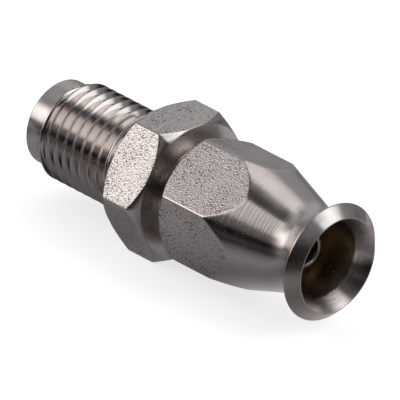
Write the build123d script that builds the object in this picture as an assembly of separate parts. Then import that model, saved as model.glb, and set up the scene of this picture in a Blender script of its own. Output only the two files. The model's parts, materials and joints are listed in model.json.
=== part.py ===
# A reusable brake hose end: a turned adapter body with a male port thread, a loose brass olive,
# and a hexagon socket nut with a bell mouth for the hose. Millimetres.
#
# The long axis is X. The origin lies on it where the port thread meets the adapter's hexagon.
# The port end points along -X and the hose leaves along +X. +Z is up, square to a hexagon flat.
from build123d import *
from math import cos, radians, sin, tan
import os

# Port thread, 3/8 inch - 24 UNF, kept plain at its major radius
THREAD_R = 4.725
PORT_LENGTH = 12.7
PILOT_R = 4.03
PILOT_LENGTH = 1.88
PILOT_EDGE = 0.2
THREAD_LEAD_ANGLE = 45

# Conical seat in the port end, and the passage through the adapter
PASSAGE_R = 1.2
SEAT_MOUTH_R = 3.1
SEAT_ANGLE = 45

# Socket nut hexagon, 7/16 inch across flats: its thread's bore with a wall round it
THREAD_FIT = 0.05
NUT_WALL = 0.78125
NUT_HEX_FLATS = 2 * (THREAD_R + THREAD_FIT + NUT_WALL)
NUT_HEX_TURN = 39.8
NUT_GAP = 1.4
NUT_HEX_LENGTH = 5.85
NUT_CHAMFER_MARGIN = 0.0
NUT_CHAMFER_ANGLE = 45

# Adapter hexagon, 1/2 inch across flats: the next spanner after the nut's
SPANNER_STEP = 25.4 / 16
BODY_HEX_FLATS = NUT_HEX_FLATS + SPANNER_STEP
BODY_HEX_LENGTH = 4.7
BODY_CHAMFER_MARGIN = 0.03
PORT_SIDE_CHAMFER_ANGLE = 50
HOSE_SIDE_CHAMFER_ANGLE = 45

# Stem that carries the socket nut
STEM_LENGTH = 6.6
STEM_EDGE = 0.45
RELIEF_R = 4.15
RELIEF_LENGTH = 0.7
RELIEF_SLOPE = 0.25

# Nipple that the hose liner is pushed over
NIPPLE_R = 1.6
NIPPLE_REACH = 8.15
NIPPLE_TIP_EDGE = 0.15

# Cup in the stem's end that the olive closes on
CUP_ANGLE = 32
CUP_FLOOR_R = 2.6

# Olive
OLIVE_R = 3.95
OLIVE_THICKNESS = 1.5
OLIVE_BORE_R = OLIVE_R - OLIVE_THICKNESS
OLIVE_BELT = 0.9
OLIVE_END_WALL = 0.3
OLIVE_NOSE_R = OLIVE_BORE_R + OLIVE_END_WALL
OLIVE_TAIL_R = OLIVE_BORE_R + OLIVE_END_WALL
OLIVE_EDGE = 0.08

# Outside of the nut beyond its hexagon, with the bell turned from the same bar
TAPER_ANGLE = 17.7
TAPER_END_R = 4.31
NECK_ROUND = 3.0
BELL_LENGTH = 4.5516
BELL_BACK_ANGLE = 50
BELL_TURNED_OFF = 0.016
BELL_EDGE_ROUND = 0.16
BELL_FACE_ANGLE = 45
LIP_R = 4.51
LIP_WIDTH = 0.1

# Inside of the nut
STEM_END_ROOM = 0.2
NUT_MOUTH_EDGE = 0.25
SHOULDER_R = 4.3
SHOULDER_LENGTH = 0.25
SQUEEZE_ANGLE = 17.7
HOSE_BORE_R = 3.69
FLARE_DEPTH = 1.6
OLIVE_FIT = 0.05

# How far the nut screws on before the olive closes on its cup
TIGHTENING = 1.0
CUP_FIT = 0.06


def slope(angle):
    """Rise for each millimetre of run."""
    return tan(radians(angle))


def turned(*points):
    """Solid of revolution about X whose outline runs straight through the (x, radius) points."""
    return revolve(make_face(Polyline(*points, close=True)), Axis.X)


def hexagon_bar(flats, start, end, turn=0):
    """Hexagon stock along X with two flats facing +Z and -Z before it is turned."""
    section = RegularPolygon(flats / 2, 6, major_radius=False, rotation=turn)
    return extrude(Plane.YZ.offset(start) * section, end - start)


def corner_radius(flats):
    """Half the distance across a hexagon's corners."""
    return flats / 2 / cos(radians(30))


# Stations of the adapter along X
port_end = -PORT_LENGTH
thread_start = port_end + PILOT_LENGTH + (THREAD_R - PILOT_R) / slope(THREAD_LEAD_ANGLE)
body_face = BODY_HEX_LENGTH
stem_end = body_face + STEM_LENGTH
nipple_end = stem_end + NIPPLE_REACH

# Stations of the nut along X
nut_face = body_face + NUT_GAP
nut_corner_end = nut_face + NUT_HEX_LENGTH
nut_corner_r = corner_radius(NUT_HEX_FLATS)
taper_end = nut_corner_end + (nut_corner_r - TAPER_END_R) / slope(TAPER_ANGLE)
lip_end = taper_end + BELL_LENGTH
bell_r = NUT_HEX_FLATS / 2 - BELL_TURNED_OFF
nut_thread_end = stem_end + TIGHTENING + STEM_END_ROOM
squeeze_start = nut_thread_end + SHOULDER_LENGTH
squeeze_end = squeeze_start + (SHOULDER_R - HOSE_BORE_R) / slope(SQUEEZE_ANGLE)

# Stations of the olive, seated with a small gap in the nut's squeezing cone
olive_gap = OLIVE_FIT / cos(radians(SQUEEZE_ANGLE))
belt_end = squeeze_start + (SHOULDER_R - OLIVE_R - olive_gap) / slope(SQUEEZE_ANGLE)
belt_start = belt_end - OLIVE_BELT
olive_nose = belt_start - (OLIVE_R - OLIVE_NOSE_R) / slope(CUP_ANGLE)
olive_tail = belt_end + (OLIVE_R - OLIVE_TAIL_R) / slope(SQUEEZE_ANGLE)

# The cup meets the olive's nose when the nut has come on by TIGHTENING
cup_shift = TIGHTENING + CUP_FIT / sin(radians(CUP_ANGLE))
cup_mouth_r = OLIVE_R - (belt_start - cup_shift - stem_end) * slope(CUP_ANGLE)
cup_floor = stem_end - (cup_mouth_r - CUP_FLOOR_R) / slope(CUP_ANGLE)


def adapter_body():
    """Port thread, hexagon, stem and nipple, turned from one hexagon bar."""
    flat_r = BODY_HEX_FLATS / 2
    corner_r = corner_radius(BODY_HEX_FLATS)
    circle_r = flat_r + BODY_CHAMFER_MARGIN
    blank_r = corner_r + 1
    rear_run = (blank_r - circle_r) / slope(PORT_SIDE_CHAMFER_ANGLE)
    front_run = (blank_r - circle_r) / slope(HOSE_SIDE_CHAMFER_ANGLE)
    relief_end = body_face + RELIEF_LENGTH
    seat_depth = (SEAT_MOUTH_R - PASSAGE_R) / slope(SEAT_ANGLE)

    blank = turned(
        (nipple_end, PASSAGE_R),
        (port_end + seat_depth, PASSAGE_R),
        (port_end, SEAT_MOUTH_R),
        (port_end, PILOT_R - PILOT_EDGE),
        (port_end + PILOT_EDGE, PILOT_R),
        (port_end + PILOT_LENGTH, PILOT_R),
        (thread_start, THREAD_R),
        (0, THREAD_R),
        (0, circle_r),
        (rear_run, blank_r),
        (body_face - front_run, blank_r),
        (body_face, circle_r),
        (body_face, RELIEF_R),
        (relief_end, RELIEF_R),
        (relief_end + RELIEF_SLOPE, THREAD_R),
        (stem_end - STEM_EDGE, THREAD_R),
        (stem_end, THREAD_R - STEM_EDGE),
        (stem_end, cup_mouth_r),
        (cup_floor, CUP_FLOOR_R),
        (cup_floor, NIPPLE_R),
        (nipple_end - NIPPLE_TIP_EDGE, NIPPLE_R),
        (nipple_end, NIPPLE_R - NIPPLE_TIP_EDGE),
    )
    return blank & hexagon_bar(BODY_HEX_FLATS, port_end, nipple_end)


def olive():
    """Double-tapered ring: a short steep nose for the cup and a long tail for the squeezing cone."""
    return turned(
        (olive_nose, OLIVE_BORE_R + OLIVE_EDGE),
        (olive_nose, OLIVE_NOSE_R),
        (belt_start, OLIVE_R),
        (belt_end, OLIVE_R),
        (olive_tail, OLIVE_TAIL_R),
        (olive_tail, OLIVE_BORE_R + OLIVE_EDGE),
        (olive_tail - OLIVE_EDGE, OLIVE_BORE_R),
        (olive_nose + OLIVE_EDGE, OLIVE_BORE_R),
    )


def bell_outline():
    """Neck, bell, lip and flare of the nut, from the end of its taper to its hose bore."""
    start = Vector(taper_end, TAPER_END_R)
    neck_centre = start + NECK_ROUND * Vector(sin(radians(TAPER_ANGLE)), cos(radians(TAPER_ANGLE)))
    back = radians(BELL_BACK_ANGLE)
    neck_low = neck_centre - Vector(0, NECK_ROUND)
    neck_end = neck_centre + NECK_ROUND * Vector(sin(back), -cos(back))
    neck = ThreePointArc(start, neck_low, neck_end)

    # The bell's face runs back from the lip to the edge round, and the back slope rises to it
    face = radians(BELL_FACE_ANGLE)
    face_normal = Vector(sin(face), cos(face))
    lip_top = Vector(lip_end, LIP_R + LIP_WIDTH / 2)
    face_rise = bell_r - BELL_EDGE_ROUND * (1 - face_normal.Y) - lip_top.Y
    face_top = lip_top + Vector(-face_rise / slope(BELL_FACE_ANGLE), face_rise)
    edge_centre = face_top - BELL_EDGE_ROUND * face_normal
    edge_top = edge_centre + Vector(0, BELL_EDGE_ROUND)
    back_top = edge_centre + BELL_EDGE_ROUND * Vector(-sin(back), cos(back))

    lip_bottom = Vector(lip_end, LIP_R - LIP_WIDTH / 2)
    return [
        neck,
        Line(neck_end, back_top),
        ThreePointArc(back_top, edge_top, face_top),
        Line(face_top, lip_top),
        Line(lip_top, lip_bottom),
        Line(lip_bottom, (lip_end - FLARE_DEPTH, HOSE_BORE_R)),
    ]


def socket_nut():
    """Hexagon nut that tapers to a neck and opens in a bell, with a cone inside for the olive."""
    flat_r = NUT_HEX_FLATS / 2
    circle_r = flat_r + NUT_CHAMFER_MARGIN
    blank_r = nut_corner_r + 1
    front_run = (blank_r - circle_r) / slope(NUT_CHAMFER_ANGLE)
    taper_run = (blank_r - nut_corner_r) / slope(TAPER_ANGLE)
    bore_r = THREAD_R + THREAD_FIT
    straight = Polyline(
        (lip_end - FLARE_DEPTH, HOSE_BORE_R),
        (squeeze_end, HOSE_BORE_R),
        (squeeze_start, SHOULDER_R),
        (nut_thread_end, bore_r),
        (nut_face + NUT_MOUTH_EDGE, bore_r),
        (nut_face, bore_r + NUT_MOUTH_EDGE),
        (nut_face, circle_r),
        (nut_face + front_run, blank_r),
        (nut_corner_end - taper_run, blank_r),
        (taper_end, TAPER_END_R),
    )
    outline = straight
    for piece in bell_outline():
        outline += piece
    blank = revolve(make_face(outline), Axis.X)
    return blank & hexagon_bar(NUT_HEX_FLATS, nut_face, lip_end, NUT_HEX_TURN)


os.makedirs("parts", exist_ok=True)
export_step(adapter_body(), "parts/adapter_body.step")
export_step(olive(), "parts/olive.step")
export_step(socket_nut(), "parts/socket_nut.step")
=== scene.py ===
import json
from math import asin, atan2, ceil, cos, degrees, floor, pi, radians, sin, sqrt, tan

import bpy
from mathutils import Matrix, Vector


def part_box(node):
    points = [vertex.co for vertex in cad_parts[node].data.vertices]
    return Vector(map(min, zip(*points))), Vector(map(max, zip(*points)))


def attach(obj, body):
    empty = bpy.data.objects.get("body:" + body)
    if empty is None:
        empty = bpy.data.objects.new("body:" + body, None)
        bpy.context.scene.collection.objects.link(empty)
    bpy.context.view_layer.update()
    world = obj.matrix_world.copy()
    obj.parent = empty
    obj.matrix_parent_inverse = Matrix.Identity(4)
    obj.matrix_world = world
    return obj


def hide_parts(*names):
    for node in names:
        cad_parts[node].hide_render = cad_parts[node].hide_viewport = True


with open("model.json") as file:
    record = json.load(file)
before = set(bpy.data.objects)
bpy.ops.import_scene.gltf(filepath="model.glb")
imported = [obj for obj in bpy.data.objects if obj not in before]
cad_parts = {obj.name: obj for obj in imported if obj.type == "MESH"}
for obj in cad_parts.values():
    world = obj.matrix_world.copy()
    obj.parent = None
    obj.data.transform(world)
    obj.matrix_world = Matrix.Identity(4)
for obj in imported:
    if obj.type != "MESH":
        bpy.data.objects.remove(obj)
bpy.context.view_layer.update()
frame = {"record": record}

MM = 0.001

# Camera, fitted to the photograph: a long lens a metre and a half away
VIEW_AZIMUTH = 44.80
VIEW_ELEVATION = 26.83
VIEW_ROLL = 3.295
VIEW_TARGET = (-1.454, 7.161, -5.623)
VIEW_DISTANCE = 1554.0
SENSOR_WIDTH = 36.0
PHOTO_WIDTH = 400
FOCAL_PIXELS = 17475

# Threads, 24 to the inch with 60 degree flanks, narrow crests and rounded roots
PITCH = 25.4 / 24
FLANK_ANGLE = 30
CREST_WIDTH = 0.09
ROOT_ROUND = 0.12
PORT_THREAD_PHASE = 0.018
PORT_RUN_OUT = 1.9
NUT_RIDGE_HEIGHT = 0.52
NUT_THREAD_RUN_OUT = 0.8

# Adapter, as in the CAD model
PILOT_R = 4.03
PILOT_LENGTH = 1.88
PILOT_EDGE = 0.2
PASSAGE_R = 1.2
SEAT_MOUTH_R = 3.1
BODY_HEX_LENGTH = 4.7
BODY_CORNER_ANGLE = 30
BODY_CHAMFER_MARGIN = 0.03
PORT_SIDE_CHAMFER_ANGLE = 50
HOSE_SIDE_CHAMFER_ANGLE = 45
STEM_LENGTH = 6.6
STEM_EDGE = 0.45
RELIEF_R = 4.15
RELIEF_LENGTH = 0.7
RELIEF_SLOPE = 0.25
NIPPLE_R = 1.6
CUP_MOUTH_R = 3.719
CUP_FLOOR_R = 2.6
CUP_ANGLE = 32

# Olive
OLIVE_BORE_R = 2.45
OLIVE_BELT = 0.9
OLIVE_END_R = 2.75
OLIVE_EDGE = 0.08

# Socket nut, as in the CAD model
NUT_HEX_FLATS = 11.1125
NUT_CORNER_ANGLE = 9.8
NUT_CHAMFER_ANGLE = 45
TAPER_ANGLE = 17.7
TAPER_END_R = 4.31
BELL_LENGTH = 4.5516
NECK_ROUND = 3.0
BELL_BACK_ANGLE = 50
BELL_R = 5.54
BELL_EDGE_ROUND = 0.16
BELL_FACE_ANGLE = 45
LIP_R = 4.51
LIP_WIDTH = 0.1
FLARE_DEPTH = 1.6
HOSE_BORE_R = 3.69
SQUEEZE_ANGLE = 17.7
SHOULDER_R = 4.3
SHOULDER_LENGTH = 0.25
THREAD_FIT = 0.05
NUT_THREAD_END = 12.5
NUT_MOUTH_EDGE = 0.25

# Small roundings that catch the light
BAR_CORNER_ROUND = 0.28
EDGE = 0.05
TOOL_ROUND = 0.12

# Fineness of the meshes: steps in degrees, rows across a thread's root and along the nut's taper
FLAT_STEP = 2.0
ARC_STEP = 15
CORNER_STEPS = (0.3, 1.0)
ROOT_ROWS = (0.33, 0.67, 1)
TAPER_ROWS = (0, 0.06, 0.3, 0.65, 0.94)
SMALLEST_GROOVE = 0.02
WELD = 0.004

# Finish of the metal: how fast each pattern changes over a millimetre, and how it shows. The pits
# of the bar are where a noise passes a limit, which falls from the first to the second in patches.
LINE_DRIFT = 0.12
RADIUS_SHARE = 0.4
SMUDGES_PER_MM = 0.5
GRAINS_PER_MM = 7.0
GRAIN_HEIGHT = 0.05
PATCHES_PER_MM = 0.5
PITS_PER_MM = 7.0
PIT_LIMITS = (0.64, 0.52)
PIT_EDGE = 0.1
BAR_ROUGHNESS = (0.20, 0.28)
NOISE_MIDDLE = (0.3, 0.7)

# Studio, in metres apart from the mat's height. The world and the floor glow a little by themselves.
ROOM_RADIUS = 0.9
MAT_RADIUS = 0.85
MAT_HEIGHT_MM = 0.02
LAMP_DISTANCE = 0.5
FLOOR_REACH = 3.0
FLOOR_GREY = (0.5, 0.5, 0.5, 1)
FLOOR_GLOW = 0.7
WORLD_LIGHT = 0.35
WHITE = (1, 1, 1, 1)

# Studio walls that the metal mirrors. A card is its place (azimuth and elevation in degrees, from
# the camera's side), its width and height, its soft edge, its brightness and its tint. A later
# card covers an earlier one.
WALL = (0.222, 0.206, 0.222)
WARM = (1.0, 0.95, 0.955)
ROSE = (1.0, 0.93, 0.93)
COOL = (0.96, 0.98, 1.03)
WALL_CARDS = [
    ((8, -13), (124, 78), 4, 0.02, WARM),
    ((-93, 82), (124, 31), 4, 0.0),
    ((-66, 45), (21, 36), 4, 1.44, WARM),
    ((-110, 20), (41, 44), 6, 0.0),
    ((-94, 23), (28, 29), 9, 2.15, WARM),
    ((-128, 18), (17, 28), 4, 1.08, ROSE),
    ((-40, -20), (78, 62), 4, 0.0),
    ((183, 23), (49, 42), 19, 0.49, COOL),
    ((159, 65), (27, 36), 4, 0.64, COOL),
    ((-181, 69), (74, 21), 4, 0.57, COOL),
    ((100, 32), (53, 61), 4, 0.01),
    ((93, 34), (59, 37), 4, 1.58, COOL),
    ((114, 70), (39, 42), 4, 2.12, WARM),
    ((111, 23), (30, 27), 5, 0.24),
    ((125, 76), (16, 79), 4, 0.0),
    ((-15, 78), (22, 46), 9, 0.04),
]

# The table's brightness in the metal, by the distance behind the object: a painted reflection of the table,
# whose dip just behind the object is the object's painted shadow
TABLE = [(-60, 0.03), (-25, 0.23), (-8, 0.37), (8, 0.27), (25, 0.47), (60, 0.16)]
TABLE_TINT = (1.0, 0.955, 1.0)

# Painted patches on the table mat round the object: the middle and the reach in x and y, and how many times
# as bright as the rest the middle is. All but one are painted shadows that lie in the object's own shade;
# the one brighter than the rest is a painted pool of light. They fade out at PATCH_EDGE times their reach.
PATCH_EDGE = 1.5
PAINTED_TABLE_SHADOWS_AND_LIGHT = [
    ((4.4, -43.1), (40.0, 23.4), 0.0),
    ((13.3, -6.1), (23.7, 5.7), 0.36),
    ((17.5, 6.4), (7.1, 15.3), 2.5),
    ((-32.8, -7.3), (10.0, 19.5), 0.0),
    ((-2.0, 5.2), (4.7, 10.4), 0.0),
    ((-8.2, -7.6), (3.3, 13.2), 0.0),
]


def slope(angle):
    """Rise for each millimetre of run."""
    return tan(radians(angle))


def span(node, axis):
    """Lowest and highest place of a CAD node along one axis, in millimetres."""
    low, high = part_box(node)
    return low[axis] / MM, high[axis] / MM


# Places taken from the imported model
port_end, nipple_end = span("adapter_body", 0)
body_apothem = span("adapter_body", 2)[1]
olive_nose, olive_tail = span("olive", 0)
olive_r = span("olive", 2)[1]
nut_face, lip_end = span("socket_nut", 0)
thread_r = frame["record"]["mounts"][0]["dims"]["r_mm"]
stem_end = BODY_HEX_LENGTH + STEM_LENGTH
taper_end = lip_end - BELL_LENGTH


def column_angles(corner=None, apothem=0):
    """Angles of a mesh's columns, closer together at the rounded corners of a hexagon."""
    if corner is None:
        count = round(360 / FLAT_STEP)
        return [360 * i / count for i in range(count)]
    bend = corner_bend(apothem)
    offsets = [0, bend / 2, bend, *(bend + step for step in CORNER_STEPS)]
    steps = ceil((30 - offsets[-1]) / FLAT_STEP)
    offsets += [offsets[-1] + (30 - offsets[-1]) * (i + 1) / steps for i in range(steps)]
    sector = sorted(set([-o for o in offsets[1:-1]] + offsets))
    return sorted((corner + 60 * k + o) % 360 for k in range(6) for o in sector)


def corner_bend(apothem):
    """Angle at the axis between a bar's corner and the end of its rounding."""
    return 30 - degrees(atan2((apothem - BAR_CORNER_ROUND) * slope(30), apothem))


def hexagon_radius(angle, corner, apothem):
    """Radius of a hexagon bar with rounded corners."""
    offset = abs((angle - corner + 30) % 60 - 30)
    if offset >= corner_bend(apothem):
        return apothem / cos(radians(30 - offset))
    centre = (apothem - BAR_CORNER_ROUND) / cos(radians(30))
    across = centre * sin(radians(offset))
    return centre * cos(radians(offset)) + sqrt(BAR_CORNER_ROUND**2 - across**2)


def bar_finish(corner, apothem):
    """Finish of a bar's side by the angle: its corners are rubbed smooth."""
    bend = corner_bend(apothem)

    def finish(angle):
        offset = (angle - corner + 30) % 60 - 30
        return "corner_steel" if -bend - 0.01 < offset < bend - 0.01 else "bar_steel"

    return finish


def groove_depth(x, angle, phase, scale=lambda centre: 1.0):
    """Depth of the thread's groove at a place. scale makes it shallower where it runs out."""
    turns = (x - phase) / PITCH - angle / 360
    centre = x - (turns - floor(turns) - 0.5) * PITCH
    size = scale(centre)
    if size <= 0:
        return 0.0
    half = (PITCH - CREST_WIDTH) / 2
    across = abs(x - centre) / size
    if across >= half:
        return 0.0
    tangent = ROOT_ROUND * cos(radians(FLANK_ANGLE))
    if across >= tangent:
        return size * (half - across) / slope(FLANK_ANGLE)
    bottom = half / slope(FLANK_ANGLE) - ROOT_ROUND * (1 / sin(radians(FLANK_ANGLE)) - 1)
    return size * (bottom - ROOT_ROUND + sqrt(ROOT_ROUND**2 - across**2))


def groove_stations():
    """Places across one groove, from its centre, that its rows of points follow."""
    half = (PITCH - CREST_WIDTH) / 2
    tangent = ROOT_ROUND * cos(radians(FLANK_ANGLE))
    inner = [tangent * part for part in ROOT_ROWS]
    outer = [tangent + 0.03, (tangent + half) / 2, half - 0.02, half]
    side = inner + outer
    return [-s for s in reversed(side)] + [0] + side


class Skin:
    """A closed mesh made of rows of points round the long axis, each row joined to the last."""

    def __init__(self, angles):
        self.angles = angles
        self.points = []
        self.faces = []
        self.finishes = []
        self.first = None
        self.last = None

    def point(self, x, r, column):
        angle = radians(self.angles[column])
        self.points.append((x * MM, -r * sin(angle) * MM, r * cos(angle) * MM))
        return len(self.points) - 1

    def face(self, corners, finish):
        kept = [c for i, c in enumerate(corners) if c != corners[i - 1]]
        if len(kept) > 2:
            self.faces.append(kept)
            self.finishes.append(finish)

    def join(self, row, finish):
        count = len(self.angles)
        for j in range(count):
            k = (j + 1) % count
            chosen = finish(self.angles[j]) if callable(finish) else finish
            self.face((self.last[j], self.last[k], row[k], row[j]), chosen)
        self.last = row

    def row(self, x, r, finish):
        """Adds a row. x and r are numbers, or functions of the angle."""
        xs = [x(a) if callable(x) else x for a in self.angles]
        rs = [r(a) if callable(r) else r for a in self.angles]
        row = [self.point(xs[j], rs[j], j) for j in range(len(self.angles))]
        if self.last is None:
            self.first = self.last = row
        else:
            self.join(row, finish)

    def rows(self, points, finish):
        for x, r in points:
            self.row(x, r, finish)

    def ring(self, x, radius):
        """Points of a ring whose radius is a function of x and the angle. Adds no faces."""
        return [self.point(x, radius(x, a), j) for j, a in enumerate(self.angles)]

    def helix(self, start, end, phase, radius, finish, scale=lambda centre: 1.0):
        """Adds a thread from x = start to x = end, on the rows that follow its groove."""
        low, high = min(start, end), max(start, end)
        rings = (self.ring(low, radius), self.ring(high, radius))
        stations = groove_stations()
        first_turn = floor((low - phase) / PITCH) - 2
        last_turn = ceil((high - phase) / PITCH) + 1
        grid = []
        for turn in range(first_turn, last_turn + 1):
            for station in stations:
                places = self.helix_places(phase + (turn + 0.5) * PITCH, station, scale)
                grid.append(self.helix_row(places, (low, high), radius, rings))
        backwards = start > end
        near, far = reversed(rings) if backwards else rings
        self.join(near, finish)
        self.weave(grid, len(stations), finish, backwards)
        self.last = far

    def helix_places(self, start, station, scale):
        """Where a row of the thread lies along X, at each angle."""
        centres = [start + angle / 360 * PITCH for angle in self.angles]
        return [centre + station * max(scale(centre), SMALLEST_GROOVE) for centre in centres]

    def helix_row(self, places, ends, radius, rings):
        """A row of the thread. Its points beyond the ends are those of the end rings."""
        row = []
        for j, (x, angle) in enumerate(zip(places, self.angles)):
            if x <= ends[0] + WELD:
                row.append(rings[0][j])
            elif x >= ends[1] - WELD:
                row.append(rings[1][j])
            else:
                row.append(self.point(x, radius(x, angle), j))
        return row

    def weave(self, grid, rows_per_turn, finish, backwards):
        """Joins the rows of a thread. Each goes on, past its last column, a turn further."""
        count = len(self.angles)
        top = len(grid) - 1
        for i in range(top):
            for j in range(count):
                if j + 1 < count:
                    corners = (grid[i][j], grid[i][j + 1], grid[i + 1][j + 1], grid[i + 1][j])
                else:
                    near = grid[min(i + rows_per_turn, top)][0]
                    far = grid[min(i + 1 + rows_per_turn, top)][0]
                    corners = (grid[i][j], near, far, grid[i + 1][j])
                self.face(corners[::-1] if backwards else corners, finish)

    def close(self, finish):
        self.join(self.first, finish)

    def build(self, name, materials):
        """Makes the mesh object, smooth with each flat part shaded flat."""
        mesh = bpy.data.meshes.new(name)
        mesh.from_pydata(self.points, [], self.faces)
        for material in materials:
            mesh.materials.append(material)
        slots = [m.name for m in materials]
        mesh.polygons.foreach_set("material_index", [slots.index(f) for f in self.finishes])
        mesh.shade_smooth()
        piece = bpy.data.objects.new(name, mesh)
        bpy.context.scene.collection.objects.link(piece)
        weighted = piece.modifiers.new("even_shading", "WEIGHTED_NORMAL")
        weighted.weight = 50
        return piece


def arc(centre, radius, start, end):
    """Points of an arc about centre. Angles run from +r towards +X, in degrees."""
    steps = max(2, ceil(abs(end - start) / ARC_STEP))
    turns = [radians(start + (end - start) * i / steps) for i in range(steps + 1)]
    return [(centre[0] + radius * sin(t), centre[1] + radius * cos(t)) for t in turns]


def rounded(points, radius=EDGE):
    """The same outline with each inner corner rounded. A third number sets a corner's own radius."""
    outline = [points[0][:2]]
    for i in range(1, len(points) - 1):
        before, here, after = (Vector(p[:2]) for p in points[i - 1 : i + 2])
        towards, away = before - here, after - here
        turn = pi - towards.angle(away)
        wanted = points[i][2] if len(points[i]) > 2 else radius
        reach = min(wanted * tan(turn / 2), 0.45 * towards.length, 0.45 * away.length)
        start = here + towards.normalized() * reach
        end = here + away.normalized() * reach
        middle = (start + end) / 4 + here / 2
        outline += [tuple(start), tuple(middle), tuple(end)]
    outline.append(points[-1][:2])
    return outline


def hexagon(skin, start, apothem, corner, start_angle, start_circle, end_rows):
    """Chamfer and flats of a hexagon bar. end_rows adds what is turned on its other end."""

    def radius(angle):
        return hexagon_radius(angle, corner, apothem)

    rise = slope(start_angle)

    def chamfer_edge(angle):
        return start + max(0, (radius(angle) - start_circle) / rise)

    def below(angle):
        return radius(angle) - EDGE * sin(radians(start_angle))

    def set_back(angle):
        return max(start, chamfer_edge(angle) - EDGE * cos(radians(start_angle)))

    skin.row(start, lambda a: min(start_circle, below(a) - 0.02) - EDGE, "turned_steel")
    skin.row(start, lambda a: min(start_circle, below(a) - 0.01), "turned_steel")
    skin.row(set_back, below, "turned_steel")
    skin.row(lambda a: chamfer_edge(a) + EDGE, radius, "turned_steel")
    skin.row(lambda a: chamfer_edge(a) + 3 * EDGE, radius, bar_finish(corner, apothem))
    end_rows(skin, radius)


def adapter_rear(skin):
    """Conical seat, port face and pilot."""
    seat_depth = SEAT_MOUTH_R - PASSAGE_R
    thread_start = port_end + PILOT_LENGTH
    points = [
        (port_end + seat_depth + 0.4, PASSAGE_R),
        (port_end + seat_depth, PASSAGE_R),
        (port_end, SEAT_MOUTH_R),
        (port_end, PILOT_R - PILOT_EDGE),
        (port_end + PILOT_EDGE, PILOT_R),
        (thread_start - 0.02, PILOT_R),
    ]
    skin.rows(rounded(points), "turned_steel")

    def run_out(centre):
        return min(1, -centre / PORT_RUN_OUT)

    def radius(x, angle):
        lead = PILOT_R + (x - thread_start)
        return min(thread_r - groove_depth(x, angle, PORT_THREAD_PHASE, run_out), lead)

    skin.helix(thread_start, -EDGE, PORT_THREAD_PHASE, radius, "thread_steel", run_out)
    skin.row(0, thread_r + EDGE, "turned_steel")


def adapter_hexagon(skin):
    """Hexagon with a chamfer at each end, and the faces beside it."""
    circle = body_apothem + BODY_CHAMFER_MARGIN

    def hose_side(skin, radius):
        """The chamfer towards the hose."""
        rise = slope(HOSE_SIDE_CHAMFER_ANGLE)
        lean = radians(HOSE_SIDE_CHAMFER_ANGLE)
        bar = bar_finish(BODY_CORNER_ANGLE, body_apothem)

        def edge(angle):
            return BODY_HEX_LENGTH - max(0, (radius(angle) - circle) / rise)

        def below(angle):
            return radius(angle) - EDGE * sin(lean)

        skin.row(lambda a: edge(a) - 3 * EDGE, radius, bar)
        skin.row(lambda a: edge(a) - EDGE, radius, bar)
        skin.row(lambda a: min(BODY_HEX_LENGTH, edge(a) + EDGE * cos(lean)), below, "turned_steel")
        skin.row(BODY_HEX_LENGTH, lambda a: min(circle, below(a) - 0.01), "turned_steel")
        skin.row(BODY_HEX_LENGTH, lambda a: min(circle, below(a) - 0.02) - EDGE, "turned_steel")

    hexagon(skin, 0, body_apothem, BODY_CORNER_ANGLE, PORT_SIDE_CHAMFER_ANGLE, circle, hose_side)


def adapter_stem(skin):
    """Relief, threaded stem, cup and nipple."""
    relief_end = BODY_HEX_LENGTH + RELIEF_LENGTH
    relief = [
        (BODY_HEX_LENGTH, RELIEF_R + 2 * TOOL_ROUND),
        (BODY_HEX_LENGTH, RELIEF_R, TOOL_ROUND),
        (relief_end - 0.05, RELIEF_R),
    ]
    skin.rows(rounded(relief), "turned_steel")

    def radius(x, angle):
        lead_in = RELIEF_R + (x - relief_end) * (thread_r - RELIEF_R) / RELIEF_SLOPE
        lead_out = thread_r - STEM_EDGE + (stem_end - x)
        return min(thread_r - groove_depth(x, angle, 0), lead_in, lead_out)

    skin.helix(relief_end, stem_end, 0, radius, "thread_steel")
    cup_floor = stem_end - (CUP_MOUTH_R - CUP_FLOOR_R) / slope(CUP_ANGLE)
    points = [
        (stem_end, thread_r - STEM_EDGE - 0.25),
        (stem_end, CUP_MOUTH_R),
        (cup_floor, CUP_FLOOR_R),
        (cup_floor, NIPPLE_R, TOOL_ROUND),
        (nipple_end, NIPPLE_R, 0.15),
        (nipple_end, PASSAGE_R, 0.06),
        (nipple_end - 0.4, PASSAGE_R),
    ]
    skin.rows(rounded(points), "turned_steel")
    skin.close("bore_steel")


def make_adapter(materials):
    skin = Skin(column_angles(BODY_CORNER_ANGLE, body_apothem))
    adapter_rear(skin)
    adapter_hexagon(skin)
    adapter_stem(skin)
    return skin.build("adapter_body_looks", materials)


def make_olive(materials):
    belt_end = olive_tail - (olive_r - OLIVE_END_R) / slope(SQUEEZE_ANGLE)
    belt_start = belt_end - OLIVE_BELT
    middle = (olive_nose + olive_tail) / 2
    points = [
        (middle, OLIVE_BORE_R),
        (olive_nose, OLIVE_BORE_R, OLIVE_EDGE),
        (olive_nose, OLIVE_END_R, EDGE),
        (belt_start, olive_r, 0.1),
        (belt_end, olive_r, 0.1),
        (olive_tail, OLIVE_END_R, EDGE),
        (olive_tail, OLIVE_BORE_R, OLIVE_EDGE),
        (middle + 0.1, OLIVE_BORE_R),
    ]
    skin = Skin(column_angles())
    skin.rows(rounded(points), "turned_brass")
    skin.close("turned_brass")
    return skin.build("olive_looks", materials)


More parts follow.
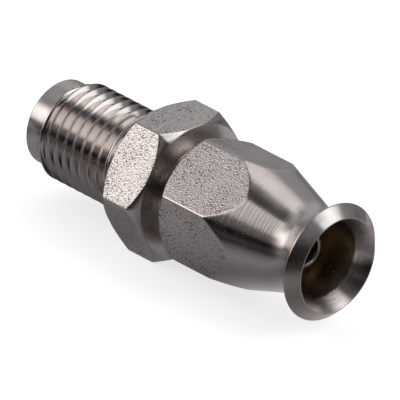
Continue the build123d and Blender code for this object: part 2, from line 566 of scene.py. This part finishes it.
def nut_hexagon(skin):
    """Nut's hexagon, which runs out into a turned taper, and the taper itself."""
    apothem = NUT_HEX_FLATS / 2

    def taper(skin, radius):
        lean = radians(TAPER_ANGLE)
        bar = bar_finish(NUT_CORNER_ANGLE, apothem)

        def edge(angle):
            return taper_end - (radius(angle) - TAPER_END_R) / slope(TAPER_ANGLE)

        skin.row(lambda a: edge(a) - 3 * EDGE, radius, bar)
        skin.row(lambda a: edge(a) - EDGE, radius, bar)
        for part in TAPER_ROWS:
            skin.row(
                lambda a: (edge(a) + EDGE * cos(lean)) * (1 - part) + taper_end * part,
                lambda a: (radius(a) - EDGE * sin(lean)) * (1 - part) + TAPER_END_R * part,
                "turned_steel",
            )

    hexagon(skin, nut_face, apothem, NUT_CORNER_ANGLE, NUT_CHAMFER_ANGLE, apothem, taper)


def bell_points():
    """Neck, bell, lip and flare, from the end of the taper to the hose bore."""
    lean = radians(TAPER_ANGLE)
    neck_centre = (taper_end + NECK_ROUND * sin(lean), TAPER_END_R + NECK_ROUND * cos(lean))
    neck = arc(neck_centre, -NECK_ROUND, TAPER_ANGLE, -BELL_BACK_ANGLE)
    face = radians(BELL_FACE_ANGLE)
    lip_top = (lip_end, LIP_R + LIP_WIDTH / 2)
    face_rise = BELL_R - BELL_EDGE_ROUND * (1 - cos(face)) - lip_top[1]
    edge_centre = (
        lip_end - face_rise / slope(BELL_FACE_ANGLE) - BELL_EDGE_ROUND * sin(face),
        lip_top[1] + face_rise - BELL_EDGE_ROUND * cos(face),
    )
    edge = arc(edge_centre, BELL_EDGE_ROUND, -BELL_BACK_ANGLE, BELL_FACE_ANGLE)
    mouth = [
        edge[-1],
        (*lip_top, 0.03),
        (lip_end, LIP_R - LIP_WIDTH / 2, 0.03),
        (lip_end - FLARE_DEPTH, HOSE_BORE_R, 0.1),
        (lip_end - FLARE_DEPTH - 0.3, HOSE_BORE_R),
    ]
    return neck + edge[:-1] + rounded(mouth)


def nut_inside(skin):
    """Hose bore, squeezing cone, shoulder, inner thread and mouth."""
    squeeze_start = NUT_THREAD_END + SHOULDER_LENGTH
    squeeze_end = squeeze_start + (SHOULDER_R - HOSE_BORE_R) / slope(SQUEEZE_ANGLE)
    bore_r = thread_r + THREAD_FIT
    points = [
        (squeeze_end + 0.5, HOSE_BORE_R),
        (squeeze_end, HOSE_BORE_R, 0.2),
        (squeeze_start, SHOULDER_R),
        (NUT_THREAD_END, bore_r),
        (NUT_THREAD_END - 0.1, bore_r),
    ]
    skin.rows(rounded(points), "bore_steel")

    def radius(x, angle):
        ridge = min(groove_depth(x, angle, 0), NUT_RIDGE_HEIGHT)
        ridge *= min(1, max(0, (NUT_THREAD_END - 0.1 - x) / NUT_THREAD_RUN_OUT))
        mouth = bore_r + NUT_MOUTH_EDGE - (x - nut_face)
        return max(bore_r - ridge, mouth)

    skin.helix(NUT_THREAD_END - 0.15, nut_face, 0, radius, "thread_steel")
    skin.close("turned_steel")


def make_nut(materials):
    skin = Skin(column_angles(NUT_CORNER_ANGLE, NUT_HEX_FLATS / 2))
    nut_hexagon(skin)
    skin.rows(bell_points(), "turned_steel")
    nut_inside(skin)
    return skin.build("socket_nut_looks", materials)


def add(tree, kind, inputs=(), **settings):
    """Adds a shader node. An input is a value, or a socket to link."""
    node = tree.nodes.new("ShaderNode" + kind)
    for name, value in settings.items():
        setattr(node, name, value)
    for key, value in dict(inputs).items():
        if isinstance(value, bpy.types.NodeSocket):
            tree.links.new(value, node.inputs[key])
        else:
            node.inputs[key].default_value = value
    return node


def calculate(tree, operation, *values):
    return add(tree, "Math", enumerate(values), operation=operation).outputs[0]


def in_millimetres(tree):
    """The place on the object, in millimetres."""
    place = add(tree, "TexCoord").outputs["Object"]
    return add(tree, "VectorMath", {0: place, "Scale": 1 / MM}, operation="SCALE").outputs[0]


def along_profile(tree, place):
    """A number that grows along a turned profile, whichever way its surface faces."""
    parts = add(tree, "SeparateXYZ", {0: place}).outputs
    across = calculate(tree, "MULTIPLY", parts[1], parts[1])
    upright = calculate(tree, "MULTIPLY", parts[2], parts[2])
    radius = calculate(tree, "SQRT", calculate(tree, "ADD", across, upright))
    return calculate(tree, "MULTIPLY_ADD", radius, RADIUS_SHARE, parts[0])


def blend_colours(tree, factor, low, high):
    mix = add(tree, "Mix", data_type="RGBA")
    tree.links.new(factor, mix.inputs[0])
    mix.inputs[6].default_value = (*low, 1)
    mix.inputs[7].default_value = (*high, 1)
    return mix.outputs[2]


def spread(tree, value, low, high):
    """Maps a noise's middle range to low and high."""
    limits = {"Value": value, 1: NOISE_MIDDLE[0], 2: NOISE_MIDDLE[1], 3: low, 4: high}
    return add(tree, "MapRange", limits).outputs[0]


def metal(name):
    material = bpy.data.materials.new(name)
    material.use_nodes = True
    tree = material.node_tree
    shader = tree.nodes["Principled BSDF"]
    shader.inputs["Metallic"].default_value = 1
    return material, tree, shader


def turned_metal(name, colours, roughness, line_height, lines_per_mm, anisotropy=0.85):
    """Metal off the lathe: fine lines round the axis, and a sheen stretched across them."""
    material, tree, shader = metal(name)
    place = in_millimetres(tree)
    along = calculate(tree, "MULTIPLY", along_profile(tree, place), lines_per_mm)
    parts = add(tree, "SeparateXYZ", {0: place}).outputs
    round_axis = [calculate(tree, "MULTIPLY", parts[i], LINE_DRIFT) for i in (1, 2)]
    stretched = add(tree, "CombineXYZ", {0: along, 1: round_axis[0], 2: round_axis[1]}).outputs[0]
    lines = add(tree, "TexNoise", {"Vector": stretched, "Scale": 1.0, "Detail": 1})
    smudge = add(tree, "TexNoise", {"Vector": place, "Scale": SMUDGES_PER_MM, "Detail": 3})
    bump = add(tree, "Bump", {"Height": lines.outputs[0], "Strength": 1, "Distance": line_height * MM})
    tree.links.new(bump.outputs[0], shader.inputs["Normal"])
    colour = blend_colours(tree, smudge.outputs[0], *colours)
    tree.links.new(colour, shader.inputs["Base Color"])
    tree.links.new(spread(tree, smudge.outputs[0], *roughness), shader.inputs["Roughness"])
    shader.inputs["Anisotropic"].default_value = anisotropy
    shader.inputs["Anisotropic Rotation"].default_value = 0.25
    tangent = add(tree, "Tangent", direction_type="RADIAL", axis="X")
    tree.links.new(tangent.outputs[0], shader.inputs["Tangent"])
    return material


def bar_metal(name, colours):
    """Drawn bar stock: a fine grain with small dark pits that crowd in patches."""
    material, tree, shader = metal(name)
    place = in_millimetres(tree)
    grain = add(tree, "TexNoise", {"Vector": place, "Scale": GRAINS_PER_MM, "Detail": 2})
    patches = add(tree, "TexNoise", {"Vector": place, "Scale": PATCHES_PER_MM, "Detail": 2})
    cells = add(tree, "TexNoise", {"Vector": place, "Scale": PITS_PER_MM, "Detail": 1})
    limit = spread(tree, patches.outputs[0], *PIT_LIMITS)
    depth = calculate(tree, "SUBTRACT", cells.outputs[0], limit)
    pits = add(tree, "MapRange", {"Value": depth, 1: 0, 2: PIT_EDGE, 3: 0, 4: 1}).outputs[0]
    bump = add(tree, "Bump", {"Height": grain.outputs[0], "Strength": 1, "Distance": GRAIN_HEIGHT * MM})
    tree.links.new(bump.outputs[0], shader.inputs["Normal"])
    colour = blend_colours(tree, pits, *colours)
    tree.links.new(colour, shader.inputs["Base Color"])
    tree.links.new(spread(tree, grain.outputs[0], *BAR_ROUGHNESS), shader.inputs["Roughness"])
    return material


def make_materials():
    """The metals. The nut's bore is painted warmer: a painted reflection of the brass that its walls mirror
    many times over.
    """
    steel = ((0.62, 0.58, 0.55), (0.67, 0.63, 0.60))
    steel_painted_with_brass_reflection = ((0.66, 0.57, 0.50), (0.70, 0.61, 0.54))
    pitted_steel = ((0.70, 0.655, 0.62), (0.13, 0.12, 0.12))
    brass = ((0.80, 0.56, 0.22), (0.86, 0.62, 0.27))
    return {
        "turned_steel": turned_metal("turned_steel", steel, (0.22, 0.28), 0.014, 9),
        "thread_steel": turned_metal("thread_steel", steel, (0.12, 0.18), 0.0008, 8, 0),
        "corner_steel": turned_metal("corner_steel", steel, (0.24, 0.30), 0.002, 3, 0),
        # The bore's warmer colour is a painted reflection of the brass.
        "bore_steel": turned_metal("bore_steel", steel_painted_with_brass_reflection, (0.26, 0.34), 0.012, 7, 0.3),
        "bar_steel": bar_metal("bar_steel", pitted_steel),
        "turned_brass": turned_metal("turned_brass", brass, (0.20, 0.28), 0.002, 9),
    }


def seen_directly_or_mirrored(tree):
    """1 for what the camera, metal and glass see, and 0 for light on rough surfaces."""
    path = add(tree, "LightPath").outputs
    seen = calculate(tree, "MAXIMUM", path["Is Camera Ray"], path["Is Glossy Ray"])
    return calculate(tree, "MAXIMUM", seen, path["Is Transmission Ray"])


def make_world():
    """White for the camera and the metal, and a soft grey light for the floor."""
    world = bpy.data.worlds.new("studio")
    world.use_nodes = True
    tree = world.node_tree
    seen = seen_directly_or_mirrored(tree)
    strength = calculate(tree, "MULTIPLY_ADD", seen, 1 - WORLD_LIGHT, WORLD_LIGHT)
    background = tree.nodes["Background"]
    background.inputs["Color"].default_value = WHITE
    tree.links.new(strength, background.inputs["Strength"])
    world.cycles.sampling_method = "NONE"
    bpy.context.scene.world = world


def make_floor():
    """Pale floor that keeps the object's shadow."""
    height = -body_apothem * MM
    signs = ((-1, -1), (1, -1), (1, 1), (-1, 1))
    corners = [(x * FLOOR_REACH, y * FLOOR_REACH, height) for x, y in signs]
    mesh = bpy.data.meshes.new("floor")
    mesh.from_pydata(corners, [], [(0, 1, 2, 3)])
    ground = bpy.data.objects.new("floor", mesh)
    bpy.context.scene.collection.objects.link(ground)
    material = bpy.data.materials.new("floor")
    material.use_nodes = True
    tree = material.node_tree
    tree.nodes.remove(tree.nodes["Principled BSDF"])
    matt = add(tree, "BsdfDiffuse", {"Color": FLOOR_GREY})
    lift = calculate(tree, "MULTIPLY", seen_directly_or_mirrored(tree), FLOOR_GLOW)
    glow = add(tree, "Emission", {"Color": WHITE, "Strength": lift})
    both = add(tree, "AddShader", {0: matt.outputs[0], 1: glow.outputs[0]})
    tree.links.new(both.outputs[0], tree.nodes["Material Output"].inputs["Surface"])
    material.cycles.emission_sampling = "NONE"
    mesh.materials.append(material)


def direction(azimuth, elevation):
    """A direction in the room. Azimuth 0 is where the camera stands, and grows to its right."""
    turn = radians(azimuth + VIEW_AZIMUTH - 90)
    rise = radians(elevation)
    return Vector((cos(turn) * cos(rise), sin(turn) * cos(rise), sin(rise)))


def lamp(name, azimuth, elevation, width, height, radiance):
    """A soft area lamp that faces the object. Width and height are angles in degrees."""
    light = bpy.data.lights.new(name, "AREA")
    light.shape = "RECTANGLE"
    light.size = 2 * LAMP_DISTANCE * slope(width / 2)
    light.size_y = 2 * LAMP_DISTANCE * slope(height / 2)
    light.energy = radiance * pi * light.size * light.size_y
    holder = bpy.data.objects.new(name, light)
    bpy.context.scene.collection.objects.link(holder)
    towards = direction(azimuth, elevation)
    holder.location = towards * LAMP_DISTANCE
    holder.rotation_euler = towards.to_track_quat("Z", "Y").to_euler()
    holder.visible_camera = False
    holder.visible_glossy = False


def dot(tree, vector, other):
    return add(tree, "VectorMath", {0: vector, 1: other}, operation="DOT_PRODUCT").outputs["Value"]


def soft_step(tree, value, start, end, low, high):
    """Goes smoothly from low to high as the value goes from start to end."""
    limits = {"Value": value, 1: start, 2: end, 3: low, 4: high}
    return add(tree, "MapRange", limits, interpolation_type="SMOOTHSTEP").outputs[0]


def card(tree, towards, beneath, place, size, edge, brightness, tint=(1, 1, 1)):
    """Hangs a soft-edged card on the wall's colour. Place, size and edge are angles in degrees."""
    ahead = direction(*place)
    right = Vector((0, 0, 1)).cross(ahead).normalized()
    forward, sideways, upward = (dot(tree, towards, v) for v in (ahead, right, ahead.cross(right)))
    turn = calculate(tree, "ABSOLUTE", calculate(tree, "ARCTAN2", sideways, forward))
    rise = calculate(tree, "ABSOLUTE", calculate(tree, "ARCSINE", upward))
    masks = []
    for angle, width in ((turn, size[0]), (rise, size[1])):
        outer, inner = radians((width + edge) / 2), radians(max(0, width - edge) / 2)
        masks.append(soft_step(tree, angle, outer, inner, 0, 1))
    mask = calculate(tree, "MULTIPLY", *masks)
    mix = add(tree, "Mix", data_type="RGBA")
    tree.links.new(mask, mix.inputs[0])
    tree.links.new(beneath, mix.inputs[6])
    mix.inputs[7].default_value = (*[brightness * t for t in tint], 1)
    return mix.outputs[2]


def reflected_only(thing):
    """Leaves an object to be seen in metal alone."""
    thing.visible_camera = False
    thing.visible_diffuse = False
    thing.visible_transmission = False
    thing.visible_volume_scatter = False
    thing.visible_shadow = False


def glowing(name):
    """A material that only glows, with its tree and its glow."""
    material = bpy.data.materials.new(name)
    material.use_nodes = True
    tree = material.node_tree
    tree.nodes.remove(tree.nodes["Principled BSDF"])
    glow = add(tree, "Emission", {"Strength": 1.0})
    tree.links.new(glow.outputs[0], tree.nodes["Material Output"].inputs["Surface"])
    material.cycles.emission_sampling = "NONE"
    return material, tree, glow


def make_room():
    """Walls that only metal sees: soft cards at both sides and behind, and dark by the camera."""
    bpy.ops.mesh.primitive_uv_sphere_add(segments=32, ring_count=16, radius=ROOM_RADIUS)
    room = bpy.context.object
    room.name = "studio_walls"
    material, tree, glow = glowing("studio_walls")
    place = add(tree, "TexCoord").outputs["Object"]
    towards = add(tree, "VectorMath", {0: place}, operation="NORMALIZE").outputs[0]
    colour = add(tree, "RGB").outputs[0]
    colour.default_value = (*WALL, 1)
    for entry in WALL_CARDS:
        colour = card(tree, towards, colour, *entry)
    tree.links.new(colour, glow.inputs["Color"])
    room.data.materials.append(material)
    reflected_only(room)


def painted_table_patch(tree, place, centre, reach, share):
    """How many times as bright as the rest of the table a soft patch makes it. The patches are painted
    shadows, and one painted pool of light.
    """
    inverse = [1 / (r * MM) for r in reach] + [0]
    offset = [-c * MM * i for c, i in zip(centre, inverse)] + [0]
    scaled = add(tree, "VectorMath", {0: place, 1: inverse, 2: offset}, operation="MULTIPLY_ADD").outputs[0]
    distance = add(tree, "VectorMath", {0: scaled}, operation="LENGTH").outputs["Value"]
    return soft_step(tree, distance, 0, PATCH_EDGE, share, 1)


def make_mat():
    """Glowing mat on the table that only metal sees: a painted reflection of the table, dark towards the
    camera and paler behind, with the object's painted shadows.
    """
    bpy.ops.mesh.primitive_circle_add(vertices=64, radius=MAT_RADIUS, fill_type="NGON")
    mat = bpy.context.object
    mat.name = "table_mat"
    mat.location.z = (MAT_HEIGHT_MM - body_apothem) * MM
    material, tree, glow = glowing("table_mat")
    behind = tuple(-direction(0, 0) / MM)
    place = add(tree, "TexCoord").outputs["Object"]
    distance = dot(tree, place, behind)
    low, high = TABLE[0][0], TABLE[-1][0]
    part = add(tree, "MapRange", {"Value": distance, 1: low, 2: high, 3: 0, 4: 1}).outputs[0]
    ramp = add(tree, "ValToRGB", {0: part})
    elements = ramp.color_ramp.elements
    elements[1].position = 1.0
    for _ in TABLE[1:-1]:
        elements.new(0.5)
    for element, (at, brightness) in zip(elements, TABLE):
        element.position = (at - low) / (high - low)
        element.color = (*[brightness * t for t in TABLE_TINT], 1)
    tree.links.new(ramp.outputs[0], glow.inputs["Color"])
    # The painted shadows dim the mat's glow, and the painted pool of light lifts it.
    strength = 1.0
    for entry in PAINTED_TABLE_SHADOWS_AND_LIGHT:
        strength = calculate(tree, "MULTIPLY", painted_table_patch(tree, place, *entry), strength)
    tree.links.new(strength, glow.inputs["Strength"])
    mat.data.materials.append(material)
    reflected_only(mat)


def make_lights():
    """Soft lamps at both sides and behind. They light the floor, and the metal doesn't mirror them."""
    lamp("lamp_right", 85, 45, 50, 40, 1.9)
    lamp("lamp_left", -92, 38, 40, 40, 1.6)
    lamp("lamp_back", -178, 55, 60, 36, 1.3)


def make_camera():
    """Camera at the photograph's viewing angle."""
    towards_camera = direction(0, VIEW_ELEVATION)
    level = Vector((0, 0, 1)).cross(towards_camera).normalized()
    upward = towards_camera.cross(level)
    roll = radians(VIEW_ROLL)
    right = level * cos(roll) + upward * sin(roll)
    turned = Matrix((right, towards_camera.cross(right), towards_camera)).transposed().to_4x4()
    place = (Vector(VIEW_TARGET) + towards_camera * VIEW_DISTANCE) * MM
    data = bpy.data.cameras.new("camera")
    data.sensor_width = SENSOR_WIDTH
    data.lens = SENSOR_WIDTH * FOCAL_PIXELS / PHOTO_WIDTH
    data.clip_end = 100
    camera = bpy.data.objects.new("camera", data)
    camera.matrix_world = Matrix.Translation(place) @ turned
    bpy.context.scene.collection.objects.link(camera)
    bpy.context.scene.camera = camera


def dress(piece, body, node):
    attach(piece, body)
    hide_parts(node)


bpy.context.scene.view_settings.view_transform = "Standard"
make_camera()
make_world()
make_floor()
make_room()
make_mat()
make_lights()
finishes = make_materials()
steel_names = ("turned_steel", "thread_steel", "bore_steel", "bar_steel", "corner_steel")
steels = [finishes[name] for name in steel_names]
dress(make_adapter(steels), "adapter", "adapter_body")
dress(make_olive([finishes["turned_brass"]]), "olive", "olive")
dress(make_nut(steels), "nut", "socket_nut")
